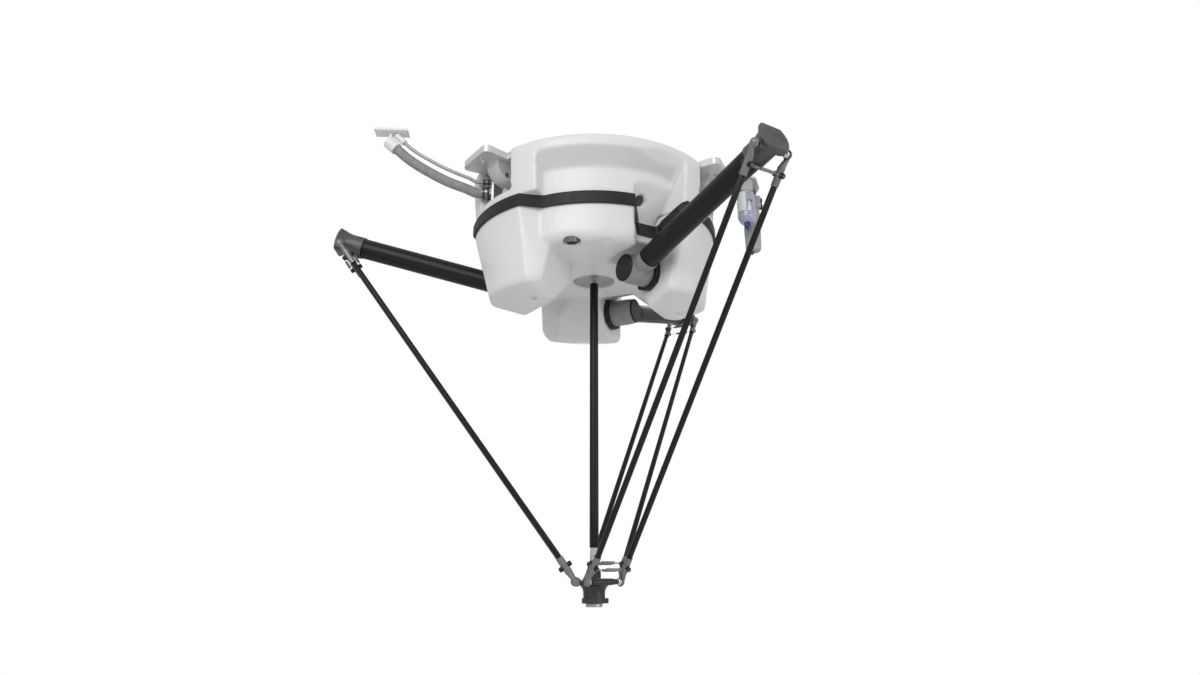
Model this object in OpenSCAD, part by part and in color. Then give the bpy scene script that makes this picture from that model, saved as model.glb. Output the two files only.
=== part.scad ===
// Ceiling-mounted delta robot: a cast base with three drive pods, three carbon upper arms,
// three pairs of carbon forearm rods, a small moving platform and a telescopic spindle
// that turns the tool. The origin is the centre of the top mounting face and +Z is up.

/* [Base] */
// Drop from the mounting face to the arm pivots
pivot_drop = 222; // [215:1:240]
// Distance of each arm pivot from the robot's axis
pivot_r = 144.5; // [142:0.5:148]
// Radius of the drive pods at the seal band
pod_r = 244; // [240:1:248]
// Radius of the pods at their lower edge
pod_foot_r = 224; // [219:1:228]
// Depth of a pod's outer lower edge below the arm pivots
pod_depth = 48; // [46:1:52]
// Extra depth of a pod's nose, where its tilted foot is lowest
nose_drop = 17; // [15:1:20]
// Rounding of the pods' lower edges
pod_round = 13; // [10:1:14]
// Radius of the front panels between the pods
panel_r = 214; // [210:1:216]
// Rounding of the panels' lower edge
panel_round = 20; // [14:1:24]
// Height of the underside above the pivots, at the middle
belly_h = 20; // [16:1:24]
// Rise of the underside from the middle to the panels
belly_rise = 6; // [3:1:10]
// Radius of the round pool under the base that the spindle leaves
pool_r = 43; // [40:1:46]
// Depth of that pool
pool_depth = 16; // [12:1:20]
// Height of the parting line above the pivots, on the pods and the panels
split_high = 106; // [103:1:109]
// The same height in the arm notches
split_notch = 71; // [68:1:74]

/* [Cover] */
// Radius of the cover's rim at the top
rim_r = 250; // [249:1:256]
// Height of the rim's top edge above the pivots
rim_top = 217; // [214:1:218]
// Height above the pivots at which the cover flares out to its rim
flare_low = 168; // [162:1:172]
// Height above the pivots at which the flare ends
flare_high = 194; // [190:1:198]
// Radius of the cover's hollow inside
cover_hollow_r = 158; // [150:1:160]
// Width of each open bay over a pod, in degrees
bay_span = 25; // [22:1:27]
// Radius of the inner wall of a bay
bay_wall_r = 200; // [196:1:206]
// Height of a bay's floor above the pivots
bay_floor = 136; // [132:1:140]
// Width of the rubber seal band
band_w = 24; // [20:1:26]
// Thickness of the seal band
band_t = 5; // [3:0.5:6]

/* [Mounting frame] */
// Thickness of the mounting frame
frame_t = 14; // [12:1:16]
// Reach of the mounting lugs from the axis
lug_r = 286; // [282:1:290]
// Radius of the circle of mounting holes
mount_hole_r = 266; // [262:1:270]
// Diameter of the mounting holes
mount_hole_d = 14; // [10:0.5:18]
// Half the width of a lug, in degrees
lug_half = 9.5; // [8:0.5:11]
// Depth of the boss cast under each lug
boss_depth = 42; // [36:1:44]

/* [Drives] */
// Distance from the arm's middle plane to the pod's drive wall
wall_t = 33; // [32:0.5:36]
// Radius of the pocket that the hub turns in
pocket_r = 50; // [46:1:52]
// Height of that pocket's ceiling above the pivots
pocket_top = 46; // [44:1:48]
// Diameter of the gearbox
gearbox_d = 78; // [72:1:80]
// Length of the gearbox
gearbox_len = 47; // [42:1:50]
// Diameter of the arm motor
motor_d = 64; // [56:1:66]
// Length of the arm motor
motor_len = 50; // [44:1:54]
// Outside diameter of the black seal collar
collar_d = 67; // [64:1:72]
// Length of the seal collar
collar_len = 9; // [7:0.5:9]
// Diameter of the drive shaft of an arm
drive_shaft_d = 40; // [34:1:42]
// Diameter of the spindle motor
spin_motor_d = 70; // [60:1:80]
// Length of the spindle motor
spin_motor_len = 94; // [80:1:110]

/* [Arms] */
// Length of an upper arm, from its pivot to its ball joints
arm_len = 372; // [340:1:400]
// Angle of the line from pivot to ball joints above the horizontal
arm_rest = 12.8; // [8:0.1:16]
// Distance of the ball joints below the tube's axis
ball_drop = 13.4; // [12:0.1:15]
// Outside diameter of the arm tube
arm_tube_d = 40; // [36:0.5:42]
// Wall of the arm tube
arm_tube_wall = 2.5; // [1.5:0.1:4]
// Diameter of the hub's end cap
hub_cap_d = 52; // [48:1:56]
// Distance from the arm's middle plane to the cap's face
hub_cap_y = 29; // [26:0.5:32]
// Distance from the pivot to where the tube leaves the hub
hub_reach = 44; // [40:1:50]
// Width of the elbow's flared end
elbow_flare_d = 62; // [56:1:64]
// Height of the elbow's flared end
elbow_height = 45; // [43:1:48]
// Diameter of the joint balls
ball_d = 13; // [12:0.5:14]
// Distance between the two balls of a joint
ball_pair = 68; // [64:1:72]

/* [Forearms] */
// Length of a forearm rod, from ball to ball
rod_len = 800; // [740:5:860]
// Diameter of a forearm rod
rod_d = 10.4; // [9:0.1:11]
// Wall of the rod end's sleeve
sleeve_wall = 1.1; // [0.9:0.1:1.5]
// Length of a rod end, from its ball to the end of its sleeve
rod_end_len = 52; // [48:1:56]
// Wall of a ball cup
cup_wall = 1.9; // [1.5:0.1:2.3]
// Distance of the springs from the balls, along the rods
spring_at = 33; // [31:0.5:36]
// Diameter of a spring
spring_d = 5.6; // [4:0.1:6]
// Length of a spring's coiled body
spring_len = 28; // [20:1:34]
// Diameter of the pins that the springs hook on
spring_pin_d = 4; // [3:0.1:4.4]

/* [Platform] */
// Distance of the platform's ball joints from the axis
foot_r = 33.8; // [32:0.1:36]
// Radius of the platform's stem
stem_r = 20; // [18:0.5:21]
// Drop from the ball joints to the underside of the platform
platform_drop = 37.5; // [34:0.5:42]
// Radius of the platform's lower flange
platform_flange_r = 22.5; // [21:0.5:25]
// Thickness of the lower flange
platform_flange_t = 9; // [7:0.5:11]
// Diameter of the neck round the spindle
neck_d = 25; // [23:0.5:27]
// Height of the neck above the ball joints
neck_h = 20; // [16:0.5:24]
// Diameter of the tool flange
tool_d = 30.6; // [28:0.2:34]
// Thickness of the tool flange
tool_t = 6; // [5:0.5:8]
// Diameter of the tool flange's middle bore
tool_bore_d = 11.8; // [10:0.1:13]
// Radius of the circle of the tool's screw holes
tool_hole_r = 8.7; // [8.5:0.1:8.9]
// Diameter of the tool's screw holes
tool_hole_d = 2.6; // [2.2:0.1:2.8]

/* [Spindle] */
// Diameter of the spindle's thin rod
spin_rod_d = 7.5; // [6:0.1:8.5]
// Reach of that rod below the pivots
spin_rod_reach = 215; // [200:5:240]
// Diameter of the spindle's black tube
spin_tube_d = 17; // [15:0.5:19]
// Height of the tube's top end above the pivots
spin_tube_top = 19; // [14:1:19]
// Length of the spindle tube
spin_tube_len = 521; // [440:1:524]
// Diameter of the universal joint
universal_d = 15.6; // [14:0.2:16.4]

/* [Air unit] */
// Diameter of the filter's guard
guard_d = 36; // [32:1:38]
// Length of the filter's guard
guard_len = 64; // [55:1:70]
// Width of the valve bodies
air_body_w = 34; // [30:1:36]
// Height of the valve bodies
air_body_h = 26; // [22:1:30]
// Length of the grey regulator below its body
regulator_len = 92; // [80:1:100]
// Thickness of the steel bracket that holds the air units
bracket_t = 4; // [3:0.5:5]

/* [Cables] */
// Diameter of the power cable's conduit
cable_d = 20; // [16:0.5:21]
// Diameter of the air hose
hose_d = 7; // [6:0.5:8]

/* [Fits] */
// Gap round a ball in its cup
ball_gap = 0.2; // [0.1:0.05:0.4]
// Gap of a part that is glued or pressed into a bore
glue_gap = 0.05; // [0.02:0.01:0.1]
// Radial gap of a turning or sliding fit
run_gap = 0.06; // [0.03:0.01:0.1]
// Gap between faces that turn or slide past each other
face_gap = 0.4; // [0.2:0.1:0.8]

/* [Hidden] */
$fn = 72;
arm_angles = [180, -60, 60];
sector = 120;

// Angles of the base's plan, counted from each arm
pod_start = 12;
pod_end = 53;
facet_end = 61.5;
bay_mid = 35.5;
lug_mid = 33;
panel_end = sector - 12.6;

// Plan of an arm notch: its floor's distance from the axis and the points of its corners
notch_floor = 172;
notch_left = -15;
notch_right = 25;
notch_side = wall_t;
notch_lip = 178;
far = 320;
notch_edge = pol(panel_r, panel_end - sector);
facet_a = pol(pod_r, pod_end);
facet_b = pol(panel_r, facet_end);
band_corner = [232.6, notch_side + 11.6];
notch_slope = (notch_edge[1] - notch_left) / (notch_edge[0] - notch_floor);

// Upper arm
tilt = arm_rest + asin(ball_drop / arm_len);
ball_x = sqrt(arm_len * arm_len - ball_drop * ball_drop);
tube_r = arm_tube_d / 2;
ball_r = ball_d / 2;
half_pair = ball_pair / 2;
hub_body_r = hub_cap_d / 2;
stub_end = wall_t + 26;
tube_start = hub_reach - 16;
tube_end = ball_x - 18;
elbow_bar_r = 6.5;
bar_end = half_pair - ball_r - 0.5;
stud_r = 2.5;

// Forearm
elbow_x = pivot_r + arm_len * cos(arm_rest);
elbow_z = arm_len * sin(arm_rest);
rod_tilt = asin((elbow_x - foot_r) / rod_len);
foot_z = elbow_z - rod_len * cos(rod_tilt);
rod_start = spring_at + spring_pin_d / 2 + 3;
cup_r = ball_r + ball_gap + cup_wall;
sleeve_r = rod_d / 2 + glue_gap + sleeve_wall;
spring_x = sleeve_r + spring_d / 2 + 0.4;

// Platform and tool, counted from the ball joints' plane
horn_end = half_pair - ball_r - face_gap;
bearing_r = 14;
tool_shaft_r = 8;
tool_shaft_top = 8;
tube_bottom = spin_tube_top - spin_tube_len;
universal_end = foot_z + tool_shaft_top + 0.1;
universal_mid = (tube_bottom + universal_end) / 2 + 6;

// Base
belly_edge = belly_h + belly_rise;
pool_top = belly_h + pool_depth;
frame_low = pivot_drop - frame_t;
frame_disc_r = rim_r - 14;
gearbox_start = wall_t + 5.3;
motor_start = gearbox_start + gearbox_len + 0.2;
spin_motor_low = split_notch;

// Air units: where they hang
air_low = frame_low - bracket_t;
filter_at = [298, -100];
regulator_at = [316, -56];

// Connector plate and the points that the two cords follow, counted from the pivots
plate_x = -200;
plate_y = -107;
plate_w = 30;
plate_t = 4;
cable_z = 162;
hose_z = 186;
gland_len = 20;
exit_x = plate_x - plate_t - gland_len;
cable_route = [[exit_x, -107, 162], [-235, -107, 162], [-250, -107, 169], [-265, -107, 175],
    [-280, -106, 181], [-295, -105, 188], [-310, -104, 196], [-325, -103, 205], [-340, -102, 214],
    [-355, -101, 224], [-370, -100, 235], [-383, -100, 246], [-395, -100, 257]];
hose_route = [[exit_x, -107, 186], [-235, -107, 186], [-250, -107, 194], [-265, -107, 200],
    [-280, -106, 207], [-295, -105, 214], [-310, -104, 222], [-325, -103, 231], [-340, -102, 240],
    [-355, -101, 250], [-368, -100, 260], [-380, -100, 271]];
clamp_dir = [-12, 0, 11];

function pol(r, a) = [r * cos(a), r * sin(a)];

// Places of the frames that the pieces are drawn in
module at_pivots() { translate([0, 0, -pivot_drop]) children(); }
module at_arm(i) { at_pivots() rotate(arm_angles[i]) children(); }
module in_arm(i) { at_arm(i) translate([pivot_r, 0, 0]) rotate([0, -tilt, 0]) children(); }
module in_forearm(i) {
    at_arm(i) translate([elbow_x, 0, elbow_z]) rotate([0, rod_tilt, 0]) children();
}
module at_platform() { at_pivots() translate([0, 0, foot_z]) children(); }
module along_y(y) { translate([0, y, 0]) rotate([-90, 0, 0]) children(); }
module along_x(x) { translate([x, 0, 0]) rotate([0, 90, 0]) children(); }

// Straight tube or pin with a bore
module pipe(r, bore, h) {
    difference() {
        cylinder(r = r, h = h);
        translate([0, 0, -1]) cylinder(r = bore, h = h + 2);
    }
}

// Wedge of a disc between two angles, cut straight outside radius r
module wedge(r, a0, a1, h) {
    steps = 4;
    linear_extrude(h)
        polygon(concat([[0, 0]], [for (k = [0:steps]) pol(r, a0 + (a1 - a0) * k / steps)]));
}

// ---- base ----

// Everything below the stepped parting line between the housing and its cover
module below_parting() {
    depth = 140;
    translate([0, 0, -depth]) cylinder(r = far - 30, h = depth + split_notch);
    for (a = arm_angles) rotate(a) {
        translate([0, 0, 1 - depth]) wedge(far - 20, pod_start - 3, panel_end, depth + split_high - 1);
    }
}

// Plan of the slot that one arm swings in, from the floor outwards
module notch_plan() {
    polygon([[notch_floor, notch_left], [notch_floor, notch_right], [notch_lip, notch_side],
        [far, notch_side + 36], [far, notch_left + (far - notch_floor) * notch_slope]]);
}

// Corners of a pod's lower part as [along the arm, across it, height, rounding]: the nose at the
// drive wall, the slanting inner flank, the tilted foot, and the inner ones hidden in the belly
pod_corners = [
    [wall_t + 105, wall_t + 9, pod_depth + nose_drop - 9, 9], [92, 113, 53, 9], [82, 123, 50, 8],
    [67, 117, 35, 6], [54, 110, 18, 5], [63, 84, 3, 5], [96, 136, 53, 9], [107, 149, 48, 9],
    [110, 168, 33, 12], [125, 162, 38, 10], [192, wall_t + 13, pod_depth - 10, 13]];
pod_inner = [[79, wall_t + 5], [60, 64], [53, 88], [58, 112], [94, 174]];

// One drive pod: an upright drive wall, a round outside and a foot that tilts down to the nose
module pod() {
    hull() {
        rotate(pod_start) rotate_extrude(angle = pod_end - pod_start, $fn = 120)
            translate([pod_r - 2, split_high - 18]) square([2, 18]);
        rotate(23) rotate_extrude(angle = 31, $fn = 120)
            translate([pod_foot_r - pod_round, pod_round - pod_depth]) circle(pod_round, $fn = 32);
        translate([103, 178, -26]) cylinder(r = 4, h = split_high + 26, $fn = 16);
        for (p = pod_corners) translate([p[0], p[1], -p[2]]) sphere(p[3], $fn = 32);
        for (p = pod_inner) translate([p[0], p[1], belly_h + 4]) cylinder(r = 5, h = 6, $fn = 16);
        for (p = [[notch_lip, wall_t + 3], [232, wall_t + 15]])
            translate([p[0], p[1], split_high - 18]) cylinder(r = 3, h = 18, $fn = 16);
    }
}

// Room under the belly for the turning hub and the raised arm, with one slanting side
module pocket() {
    intersection() {
        union() {
            along_y(-100) cylinder(r = pocket_r, h = 100 + wall_t);
            translate([0, -100, -pocket_r]) cube([far, 100 + wall_t, 2 * pocket_r]);
        }
        rotate([90, 0, 90]) translate([0, 0, -far]) linear_extrude(2 * far)
            polygon([[wall_t, pocket_top], [-16, pocket_top], [-16 - pocket_top - 20, -20], [wall_t, -20]]);
    }
}

// The middle of the base: a round belly with a rolled edge, cut away for the arms
module belly() {
    difference() {
        rotate_extrude($fn = 144) {
            polygon([[0, belly_h], [pool_r, belly_h], [panel_r - panel_round, belly_edge],
                [panel_r - panel_round, split_high + 4], [0, split_high + 4]]);
            translate([panel_r - panel_round, belly_edge + panel_round]) circle(panel_round);
            translate([0, belly_edge + panel_round])
                square([panel_r, split_high + 4 - belly_edge - panel_round]);
        }
        for (a = arm_angles) rotate(a) {
            translate([0, 0, -1]) linear_extrude(split_high + 10) notch_plan();
            translate([pivot_r, 0, 0]) pocket();
        }
    }
}

module lower_housing() {
    color("whitesmoke") at_pivots() difference() {
        intersection() {
            union() {
                belly();
                for (a = arm_angles) rotate(a) pod();
            }
            below_parting();
        }
        // room over the drives for the spindle motor
        translate([0, 0, split_notch]) cylinder(r = 150, h = 60);
        // pool and spindle bore in the middle
        translate([0, 0, belly_h - 10]) cylinder(r = pool_r - 3, h = pool_depth + 10);
        translate([0, 0, belly_h - 1]) cylinder(r1 = pool_r + 1, r2 = pool_r - 3, h = 5);
        translate([0, 0, pool_top - 1]) cylinder(r = bearing_r + glue_gap, h = 80);
        for (a = arm_angles) rotate(a) {
            // seats of the gearbox and the motor, and the opening in the drive wall
            translate([pivot_r, 0, 0]) {
                along_y(wall_t - 1) cylinder(r = drive_shaft_d / 2 + 10, h = 20);
                along_y(wall_t + 5) cylinder(r = gearbox_d / 2 + glue_gap, h = gearbox_len + 0.5);
                along_y(motor_start - 1) cylinder(r = motor_d / 2 + glue_gap, h = motor_len + 2);
            }
            // screw well and marker dimple under the panel, and a dimple under the pod
            rotate(facet_end + 13.8) translate([panel_r - 20, 0, belly_edge]) rotate([0, 17, 0])
                translate([0, 0, -20]) cylinder(r = 15.5, h = 30);
            rotate(facet_end + 32) translate([panel_r - 15, 0, belly_edge]) rotate([0, 20, 0])
                translate([0, 0, -20]) cylinder(r = 8, h = 24);
            translate([119, 122, -pod_depth - 12]) cylinder(r = 9, h = 8);
        }
    }
}

// Space outside a panel and its flare, up to the cover's rim
module outside_panel() {
    rotate_extrude($fn = 144)
        polygon([[panel_r, 4], [panel_r, flare_low], [rim_r - 1, flare_high], [far + 30, flare_high],
            [far + 30, 4]]);
}

module upper_housing() {
    color("whitesmoke") at_pivots() difference() {
        rotate_extrude($fn = 144)
            polygon([[cover_hollow_r, split_notch - 3], [pod_r, split_notch - 3], [pod_r, 125],
                [rim_r, flare_high - 6], [rim_r, rim_top - 2], [rim_r - 2, rim_top],
                [frame_disc_r + 1, rim_top], [frame_disc_r + 1, frame_low], [cover_hollow_r, frame_low]]);
        below_parting();
        for (a = arm_angles) rotate(a) {
            // recess over each panel, with slanting sides and a sloping ceiling
            intersection() {
                outside_panel();
                linear_extrude(far) polygon([pol(far, facet_end + 1 - sector),
                    pol(panel_r - 4, facet_end - 0.5 - sector), pol(100, facet_end + 4 - sector),
                    pol(100, pod_start), [notch_lip, notch_side + 2], [far, notch_side + 8],
                    pol(2 * far, -33)]);
            }
            // room for the band on the slanting face beside the pod
            intersection() {
                outside_panel();
                linear_extrude(split_high + band_w / 2 + 0.6) polygon([facet_a + 0.3 * (facet_a - facet_b),
                    facet_b - 0.1 * (facet_a - facet_b), pol(far, facet_end + 4)]);
            }
            // and at the corner between the arm's wall and the pod
            linear_extrude(split_high + band_w / 2 + 0.6) polygon([[222, notch_side], band_corner,
                2 * pol(pod_r, pod_start) - band_corner, [far, notch_side]]);
            // chute over the arm, which lets the arm rise
            intersection() {
                translate([0, 0, split_notch - 1]) linear_extrude(far) notch_plan();
                translate([0, far, 0]) rotate([90, 0, 0]) linear_extrude(2 * far)
                    polygon([[notch_floor, 0], [notch_floor, 86], [notch_floor + 52, 168],
                        [far, 310], [far, 0]]);
            }
            // eye in the chute
            translate([notch_floor + 20, -22, 118]) rotate([0, 122, 0]) translate([0, 0, -25])
                cylinder(r = 11, h = 50);
            // open bay over the pod
            rotate(bay_mid - bay_span / 2) translate([0, 0, bay_floor])
                rotate_extrude(angle = bay_span, $fn = 144) translate([bay_wall_r, 0])
                    square([far - bay_wall_r, far]);
        }
    }
}

// The rubber band follows the stepped outline of the base: [distance, angle, height] at each turn
function on_arc(r, a0, a1, z, n) = [for (k = [0:n]) [r * cos(a0 + (a1 - a0) * k / n),
    r * sin(a0 + (a1 - a0) * k / n), z]];
band_sector = concat(
    on_arc(panel_r, facet_end - sector, panel_end - sector, split_high, 9),
    [[cos(panel_end - sector) * panel_r, sin(panel_end - sector) * panel_r, split_notch + 3],
     [notch_floor, notch_left, split_notch], [notch_floor, notch_right, split_notch + 1],
     [notch_lip, notch_side, split_notch + 4], [190, notch_side, split_notch + 9],
     [222, notch_side + 7.4, split_high - 11], [232.6, notch_side + 11.6, split_high - 5],
     [235.4, notch_side + 13.6, split_high - 3]],
    on_arc(pod_r, pod_start, pod_end, split_high, 9));
band_path = [for (a = [0, 1, 2]) for (p = band_sector)
    [p[0] * cos(a * sector) - p[1] * sin(a * sector), p[0] * sin(a * sector) + p[1] * cos(a * sector), p[2]]];
band_count = len(band_path);
function band_at(i) = band_path[(i + band_count) % band_count];
function unit2(v) = v / norm(v);
function band_out(i) = let (d = unit2([for (k = [0:1]) band_at(i + 1)[k]] - [for (k = [0:1]) band_at(i - 1)[k]]))
    [d[1], -d[0]];
band_section = [[0.4, -0.5], [0.8, -0.5], [1, -0.36], [1, 0.36], [0.8, 0.5], [0.4, 0.5]];

module seal_band() {
    color([0.13, 0.13, 0.14]) rotate(arm_angles[1]) at_pivots() polyhedron(
        points = [for (i = [0:band_count - 1]) for (s = band_section)
            let (o = s[0] < 0.5 ? 0.6 : s[0] * band_t, n = band_out(i), p = band_at(i))
            [p[0] + n[0] * o, p[1] + n[1] * o, p[2] + s[1] * band_w]],
        faces = [for (i = [0:band_count - 1]) for (j = [0:5])
            let (a = i * 6 + j, b = i * 6 + (j + 1) % 6,
                c = ((i + 1) % band_count) * 6 + (j + 1) % 6, d = ((i + 1) % band_count) * 6 + j)
            each [[a, b, c], [a, c, d]]]);
}

// Plan of one mounting lug, along +X: a piece of a ring with rounded outer corners
module lug_plan() {
    corner = 12;
    turn = asin(corner / (lug_r - corner));
    round_off = [for (k = [0:6]) pol(lug_r - corner, lug_half - turn) + pol(corner, 96 - k * 15)];
    polygon(concat([pol(bay_wall_r + 20, -lug_half)],
        [for (k = [6:-1:0]) [round_off[6 - k][0], -round_off[6 - k][1]]],
        [for (k = [6:-1:0]) round_off[k]], [pol(bay_wall_r + 20, lug_half)]));
}

// Round-bellied boss under a lug, in the open bay, with a cross hole for slinging the robot
module lug_boss() {
    outer = 252;
    belly_r = outer - bay_wall_r - 2;
    difference() {
        rotate(lug_mid - 1.2) rotate_extrude(angle = 8.4, $fn = 144)
            polygon(concat([[bay_wall_r + 2, 4], [outer, 4]],
                [for (k = [0:9]) [outer - belly_r + belly_r * cos(k * 10), -boss_depth * sin(k * 10)]]));
        rotate(lug_mid) translate([bay_wall_r + 24, 0, 16 - boss_depth]) along_y(-40) cylinder(d = 11, h = 90);
    }
}

module mounting_frame() {
    color("silver") translate([0, 0, -frame_t]) difference() {
        union() {
            linear_extrude(frame_t) union() {
                circle(frame_disc_r, $fn = 144);
                for (a = arm_angles) rotate(a + lug_mid) lug_plan();
            }
            for (a = arm_angles) rotate(a) lug_boss();
        }
        for (a = arm_angles) rotate(a + lug_mid) {
            translate([mount_hole_r, 0, -1]) cylinder(d = mount_hole_d, h = frame_t + 2);
            // three round wells that lighten the disc
            rotate(60) translate([138, 0, frame_t - 8]) cylinder(r = 52, h = 9);
            translate([138, 0, frame_t - 8]) cylinder(r = 52, h = 9);
        }
        translate([0, 0, -1]) cylinder(r = 40, h = frame_t + 2);
    }
}

module gearbox(i) {
    r = gearbox_d / 2;
    color("dimgray") at_arm(i) translate([pivot_r, 0, 0]) difference() {
        union() {
            along_y(gearbox_start) cylinder(r = r, h = gearbox_len - 10);
            along_y(gearbox_start + gearbox_len - 10) cylinder(r = r - 4, h = 10);
        }
        along_y(gearbox_start - 1) cylinder(r = drive_shaft_d / 2 + run_gap, h = stub_end - gearbox_start + 2);
        for (k = [0:7]) rotate([0, k * 45, 0]) translate([drive_shaft_d / 2 + 14, 0, 0])
            along_y(gearbox_start - 1) cylinder(d = 5, h = 5);
    }
}

module motor(i) {
    r = motor_d / 2;
    color("darkslategray") at_arm(i) translate([pivot_r, 0, 0]) {
        along_y(motor_start) cylinder(r = r, h = motor_len - 8);
        along_y(motor_start + motor_len - 8) cylinder(r1 = r, r2 = r - 5, h = 8);
    }
}

module seal_collar(i) {
    r = collar_d / 2;
    color([0.1, 0.1, 0.1]) at_arm(i) translate([pivot_r, 0, 0]) along_y(wall_t - collar_len)
        linear_extrude(collar_len) difference() {
            union() {
                circle(r);
                for (k = [0:3]) rotate(45 + k * 90) translate([r - 2.5, 0]) circle(5.2);
            }
            circle(hub_body_r - 2 + face_gap);
        }
}

module spindle_motor() {
    color("darkslategray") at_pivots() difference() {
        union() {
            translate([0, 0, spin_motor_low]) cylinder(d = spin_motor_d + 20, h = 8);
            translate([0, 0, spin_motor_low + 8]) cylinder(d = spin_motor_d, h = spin_motor_len - 14);
            translate([0, 0, spin_motor_low + spin_motor_len - 6]) cylinder(d = spin_motor_d - 12, h = 6);
        }
        translate([0, 0, spin_motor_low - 1]) cylinder(r = spin_rod_d / 2 + run_gap, h = 41);
    }
}

module spindle_bearing() {
    color("gray") at_pivots() difference() {
        union() {
            translate([0, 0, pool_top - 6]) cylinder(r = bearing_r + 9, h = 6);
            translate([0, 0, pool_top - 7.5]) cylinder(r1 = bearing_r - 3, r2 = bearing_r, h = 1.5);
            translate([0, 0, pool_top]) cylinder(r = bearing_r, h = 26);
        }
        translate([0, 0, pool_top - 9]) cylinder(r = spin_rod_d / 2 + run_gap, h = 40);
    }
}

// ---- cables and air supply ----

module connector_plate() {
    color("lightgray") at_pivots() difference() {
        translate([plate_x - plate_t, plate_y - plate_w / 2, bay_floor])
            cube([plate_t, plate_w, frame_low - bay_floor]);
        for (c = [[cable_z, cable_d / 2], [hose_z, hose_d / 2]])
            translate([0, plate_y, c[0]]) along_x(plate_x - plate_t - 1) cylinder(r = c[1], h = plate_t + 2);
    }
}

module gland(r) {
    cylinder(r = r + 1.6, h = 4, $fn = 6);
    translate([0, 0, 4]) cylinder(r = r + 1, h = 3);
    translate([0, 0, 7]) cylinder(r1 = r + 1.4, r2 = r + 0.4, h = gland_len - 7);
}

module cable_glands() {
    color("dimgray") at_pivots() for (c = [[cable_z, cable_d / 2], [hose_z, hose_d / 2]])
        translate([plate_x - plate_t, plate_y, c[0]]) rotate([0, -90, 0]) gland(c[1]);
}

module service_sockets() {
    color("gray") at_pivots() for (k = [0, 1]) rotate(arm_angles[0] + bay_mid + 1 + k * 7)
        translate([0, 0, 152 + k * 20]) {
            along_x(bay_wall_r) cylinder(r = 9, h = 3);
            along_x(bay_wall_r + 3) cylinder(r = 7, h = 14);
            along_x(bay_wall_r + 17) cylinder(r = 8.2, h = 6);
        }
}

// Round cord swept along the points of a route in one vertical plane or close to it
function unit3(v) = v / norm(v);
module cord(route, d, sides) {
    n = len(route);
    rings = [for (i = [0:n - 1])
        let (t = unit3(route[min(i + 1, n - 1)] - route[max(i - 1, 0)]), s = unit3(cross(t, [0, 0, 1])),
            u = cross(s, t))
        for (k = [0:sides - 1]) route[i] + (s * cos(360 * k / sides) + u * sin(360 * k / sides)) * d / 2];
    polyhedron(points = rings, faces = concat(
        [[for (k = [0:sides - 1]) k]],
        [for (i = [0:n - 2]) for (k = [0:sides - 1]) [i * sides + k, (i + 1) * sides + k,
            (i + 1) * sides + (k + 1) % sides, i * sides + (k + 1) % sides]],
        [[for (k = [sides - 1:-1:0]) (n - 1) * sides + k]]));
}

module power_cable() { color("gray") at_pivots() cord(cable_route, cable_d, 12); }
module air_hose() { color("darkgray") at_pivots() cord(hose_route, hose_d, 8); }

// Ceiling clamp: a sleeve at the end of each cord, on a plate that screws up to the frame above
module cable_clamp() {
    color("gainsboro") at_pivots() {
        for (c = [[cable_route, cable_d], [hose_route, hose_d]])
            translate(c[0][len(c[0]) - 1]) rotate([0, atan2(clamp_dir[0], clamp_dir[2]), 0])
                translate([0, 0, 0.6]) cylinder(d = c[1] + 5, h = 23.4);
        translate([-440, -114, 292]) cube([66, 28, 5]);
        translate([-412, -103, 266]) cube([6, 6, 26.5]);
        translate([-397, -103, 282]) cube([6, 6, 10.5]);
    }
}

module air_bracket() {
    across = 12;
    color("silver") at_pivots() translate([0, 0, air_low]) linear_extrude(bracket_t) polygon([
        [238, -120], [262, -72], [300, -38], [334, -38], [334, -74], [316, -118], [280, -128]]);
}

module air_bodies() {
    w = air_body_w;
    color("darkgray") at_pivots() {
        translate([filter_at[0], filter_at[1], air_low - air_body_h]) {
            translate([-w / 2, -w / 2, 0]) cube([w, w, air_body_h]);
            translate([0, 0, -4]) cylinder(d = w - 2, h = 4);
        }
        translate([regulator_at[0], regulator_at[1], air_low - air_body_h - 14]) {
            translate([-w / 2, -w / 2 + 4, 0]) cube([w, w - 4, air_body_h]);
            translate([0, 0, -regulator_len + 20]) cylinder(r1 = w / 2 - 5, r2 = w / 2 - 1, h = regulator_len - 20);
            translate([0, 0, -regulator_len + 8]) cylinder(r1 = w / 2 - 9, r2 = w / 2 - 6, h = 12);
        }
    }
}

module filter_bowl() {
    r = guard_d / 2 - 3;
    color("lightgray") at_pivots() translate([filter_at[0], filter_at[1], air_low - air_body_h - 4])
        difference() {
            union() {
                translate([0, 0, r + 3 - guard_len]) cylinder(r = r, h = guard_len - r - 3.2);
                translate([0, 0, r + 3 - guard_len]) sphere(r);
            }
            translate([0, 0, -guard_len - r]) cylinder(r = r, h = r + 5);
        }
}

module bowl_guard() {
    r = guard_d / 2;
    color([0.8, 0.8, 0.95]) at_pivots() translate([filter_at[0], filter_at[1], air_low - air_body_h - 4])
        difference() {
            union() {
                translate([0, 0, -guard_len + r]) cylinder(r = r, h = guard_len - r - 1);
                translate([0, 0, -guard_len + r]) sphere(r);
            }
            translate([0, 0, -guard_len + r]) cylinder(r = r - 2.5, h = guard_len);
            translate([0, 0, -guard_len + r]) sphere(r - 2.5);
            translate([0, 0, -guard_len - r]) cylinder(r = r, h = r + 4.6);
            for (k = [0:2]) rotate(40 + k * 120) translate([r - 8, -5, -guard_len + 24]) cube([16, 10, 24]);
        }
}

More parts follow.
